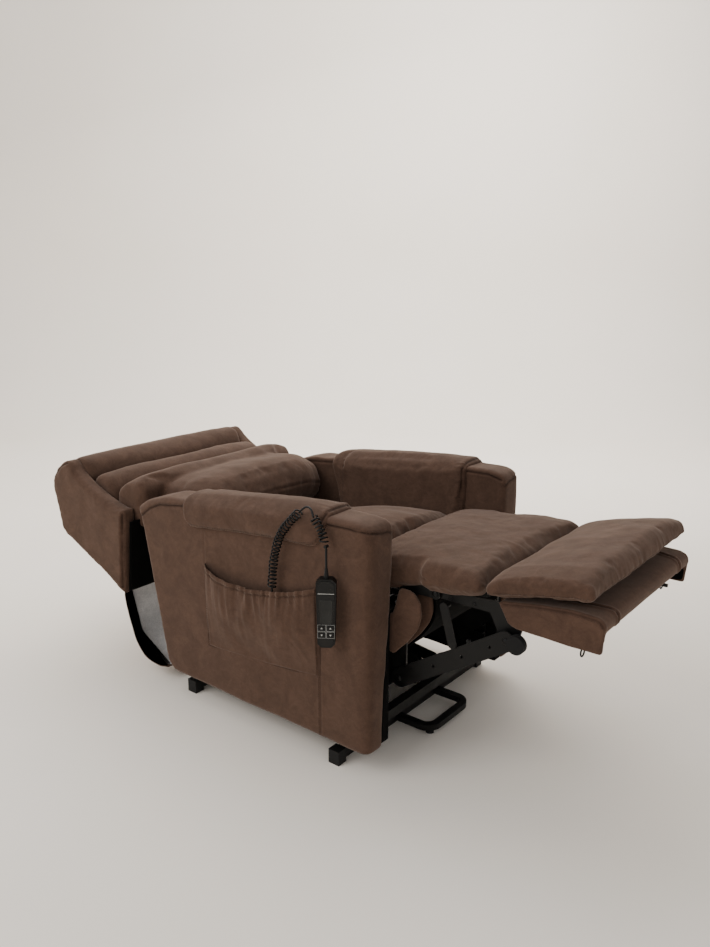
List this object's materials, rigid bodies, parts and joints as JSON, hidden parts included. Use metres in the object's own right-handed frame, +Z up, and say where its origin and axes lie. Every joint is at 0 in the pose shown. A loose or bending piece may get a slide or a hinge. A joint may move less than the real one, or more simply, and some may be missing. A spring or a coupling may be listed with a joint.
{
  "type": "lift recliner chair",
  "caption": "Powered lift recliner chair, shown reclined: padded arms, three-part back, folding footrest, tilting lift base, side pocket and corded handset.",
  "frame": {"origin": "on the floor under the middle glide of the base, on the chair's centre plane, 300 mm behind the front feet", "axes": "+X to the sitter's left, +Y towards the back of the chair, +Z up"},
  "size_m": [0.761, 1.716, 0.64],
  "materials": {
    "steel_black": "satin powder coat",
    "plastic_black": "moulded, matt",
    "motor_grey": "moulded, matt",
    "rod_steel": "polished rod",
    "zinc": "zinc plated",
    "suede": "brushed microfibre suede with a nap",
    "suede_pad": "brushed microfibre suede with a nap, padded",
    "lining": "plain black lining",
    "timber": "planed softwood",
    "rubber_black": "moulded",
    "cord": "smooth coiled lead",
    "handset_shell": "fine texture",
    "handset_front": "satin",
    "handset_key": "satin"
  },
  "bodies": {
    "base": {"base_frame": "steel_black", "base_front_loop": "steel_black", "foot_end_caps": "plastic_black", "loop_pads": "rubber_black", "base_pivot_ears": "steel_black", "power_supply": "plastic_black"},
    "lift_arms": {"lift_arms": "steel_black"},
    "front_links": {"front_lift_links": "steel_black"},
    "lift_motor": {"lift_motor_housing": "motor_grey"},
    "lift_rod": {"lift_rod": "rod_steel"},
    "chassis": {"chassis_rails": "steel_black", "chassis_cross_bars": "steel_black", "chassis_pivot_plates": "steel_black", "seat_tracks": "steel_black", "arm_bolts": "zinc", "arm_shell_right": "suede", "arm_shell_left": "suede", "arm_pad_right": "suede_pad", "arm_pad_left": "suede_pad", "arm_lining_right": "lining", "arm_lining_left": "lining", "side_pocket": "suede", "coil_cord": "cord"},
    "seat": {"seat_side_plates": "steel_black", "seat_cross_bars": "steel_black", "seat_springs": "zinc", "seat_rollers": "rubber_black", "seat_cushion": "suede_pad", "front_rail_cover": "suede", "rear_flap": "suede"},
    "footrest": {"footrest_brackets": "steel_black", "footrest_cross_bar": "steel_black", "footrest_board": "suede", "extension_pad": "suede_pad", "leg_pad": "suede_pad", "footrest_bumpers": "rubber_black", "footrest_struts": "steel_black", "footrest_eye_rings": "zinc"},
    "lower_links": {"lower_footrest_links": "steel_black"},
    "upper_links": {"upper_footrest_links": "steel_black"},
    "recline_motor": {"recline_motor_housing": "motor_grey"},
    "recline_rod": {"recline_rod": "rod_steel"},
    "back": {"back_hinge_brackets": "steel_black", "back_frame": "timber", "back_springs": "zinc", "back_shell": "suede", "back_wing_right": "suede", "back_wing_left": "suede", "lumbar_cushion": "suede_pad", "middle_bolster": "suede_pad", "head_bolster": "suede_pad"},
    "handset": {"handset_case": "handset_shell", "handset_face": "handset_front", "handset_lead": "cord"},
    "key_back_up": {"button_back_up": "handset_key"},
    "key_back_down": {"button_back_down": "handset_key"},
    "key_legs_up": {"button_legs_up": "handset_key"},
    "key_legs_down": {"button_legs_down": "handset_key"}
  },
  "joints": [
    {"name": "lift", "type": "hinge", "parent": "base", "child": "lift_arms", "pos_m": [0, -0.2, 0.06], "axis": [1, 0, 0], "range_deg": [0, 46]},
    {"name": "front_link_swing", "type": "hinge", "parent": "base", "child": "front_links", "pos_m": [0, -0.252, 0.069], "axis": [1, 0, 0], "range_deg": [-0.5, 52]},
    {"name": "chassis_tilt", "type": "hinge", "parent": "lift_arms", "child": "chassis", "pos_m": [0, 0.22, 0.09], "axis": [1, 0, 0], "range_deg": [-22.5, 0.5]},
    {"name": "lift_motor_swing", "type": "hinge", "parent": "base", "child": "lift_motor", "pos_m": [0, 0.215, 0.062], "axis": [1, 0, 0], "range_deg": [-15.5, 0.5]},
    {"name": "lift_rod_slide", "type": "slide", "parent": "lift_motor", "child": "lift_rod", "axis": [0, -0.9917, 0.1283], "range_m": [-0.0005, 0.1]},
    {"name": "back_recline", "type": "hinge", "parent": "seat", "child": "back", "pos_m": [0, 0.28, 0.37], "axis": [1, 0, 0], "range_deg": [0, 62]},
    {"name": "seat_glide", "type": "slide", "parent": "chassis", "child": "seat", "axis": [0, 1, 0], "range_m": [-0.0005, 0.0705]},
    {"name": "recline_motor_swing", "type": "hinge", "parent": "seat", "child": "recline_motor", "pos_m": [0, -0.12, 0.235], "axis": [1, 0, 0], "range_deg": [-0.5, 1.5]},
    {"name": "recline_rod_slide", "type": "slide", "parent": "recline_motor", "child": "recline_rod", "axis": [0, 0.9857, 0.1686], "range_m": [-0.0005, 0.0755]},
    {"name": "footrest_fold", "type": "hinge", "parent": "seat", "child": "footrest", "pos_m": [0, -0.502, 0.458], "axis": [1, 0, 0], "range_deg": [0, 86]},
    {"name": "lower_link_swing", "type": "hinge", "parent": "seat", "child": "lower_links", "pos_m": [0, -0.411, 0.222], "axis": [1, 0, 0], "range_deg": [-119.5, 0.5]},
    {"name": "upper_link_swing", "type": "hinge", "parent": "footrest", "child": "upper_links", "pos_m": [0, -0.69, 0.402], "axis": [1, 0, 0], "range_deg": [-45.5, 0.5]},
    {"name": "handset_swing", "type": "hinge", "parent": "chassis", "child": "handset", "pos_m": [-0.381, -0.315, 0.574], "axis": [1, 0, 0], "range_deg": [-12, 12]},
    {"name": "press_back_up", "type": "slide", "parent": "handset", "child": "key_back_up", "axis": [0.8192, 0.5736, 0], "range_m": [0, 0.001], "stiffness_N_per_m": 400},
    {"name": "press_back_down", "type": "slide", "parent": "handset", "child": "key_back_down", "axis": [0.8192, 0.5736, 0], "range_m": [0, 0.001], "stiffness_N_per_m": 400},
    {"name": "press_legs_up", "type": "slide", "parent": "handset", "child": "key_legs_up", "axis": [0.8192, 0.5736, 0], "range_m": [0, 0.001], "stiffness_N_per_m": 400},
    {"name": "press_legs_down", "type": "slide", "parent": "handset", "child": "key_legs_down", "axis": [0.8192, 0.5736, 0], "range_m": [0, 0.001], "stiffness_N_per_m": 400}
  ],
  "couplings": [
    {"joint": "front_link_swing", "follows": "lift", "ratio": 1.1152},
    {"joint": "chassis_tilt", "follows": "lift", "ratio": -0.47826},
    {"joint": "lift_motor_swing", "follows": "lift", "ratio": -0.33257},
    {"joint": "lift_rod_slide", "follows": "lift", "m_per_rad": 0.12386},
    {"joint": "seat_glide", "follows": "back_recline", "m_per_rad": 0.064689},
    {"joint": "recline_motor_swing", "follows": "back_recline", "ratio": 0.01404},
    {"joint": "recline_rod_slide", "follows": "back_recline", "m_per_rad": 0.06905},
    {"joint": "lower_link_swing", "follows": "footrest_fold", "ratio": -1.3814},
    {"joint": "upper_link_swing", "follows": "footrest_fold", "ratio": -0.52}
  ]
}
